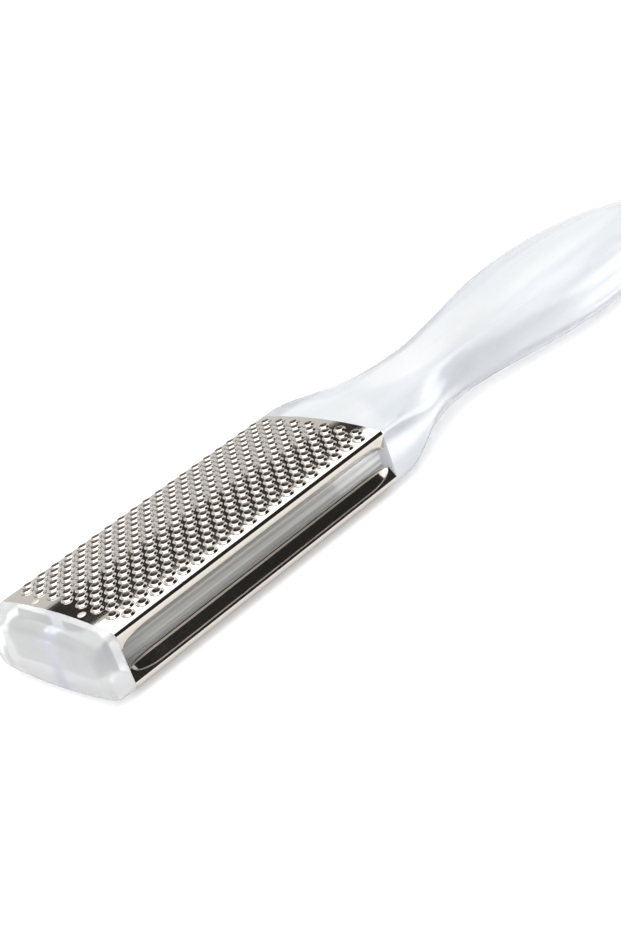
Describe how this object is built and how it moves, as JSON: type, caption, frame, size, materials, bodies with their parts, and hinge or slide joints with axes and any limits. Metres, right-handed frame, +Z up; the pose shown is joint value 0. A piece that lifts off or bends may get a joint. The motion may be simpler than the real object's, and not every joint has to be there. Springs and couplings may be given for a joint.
{
  "type": "foot file",
  "caption": "Double-sided foot file: clear waisted handle with a flat core, a coarse and a fine folded steel rasp plate on the core, and a clear end cap.",
  "frame": {"origin": "under the middle of the tool's length and width, on the surface that it lies on with the coarse plate up", "axes": "+X along the tool from the end cap to the grip, +Y across it to the left, +Z up through the coarse plate"},
  "size_m": [0.2308, 0.0422, 0.0174],
  "materials": {
    "clear_plastic": "polished, clear",
    "plated_steel": "bright nickel plate"
  },
  "bodies": {
    "root": {"handle": "clear_plastic", "end_cap": "clear_plastic", "coarse_plate": "plated_steel", "fine_plate": "plated_steel"}
  },
  "joints": []
}
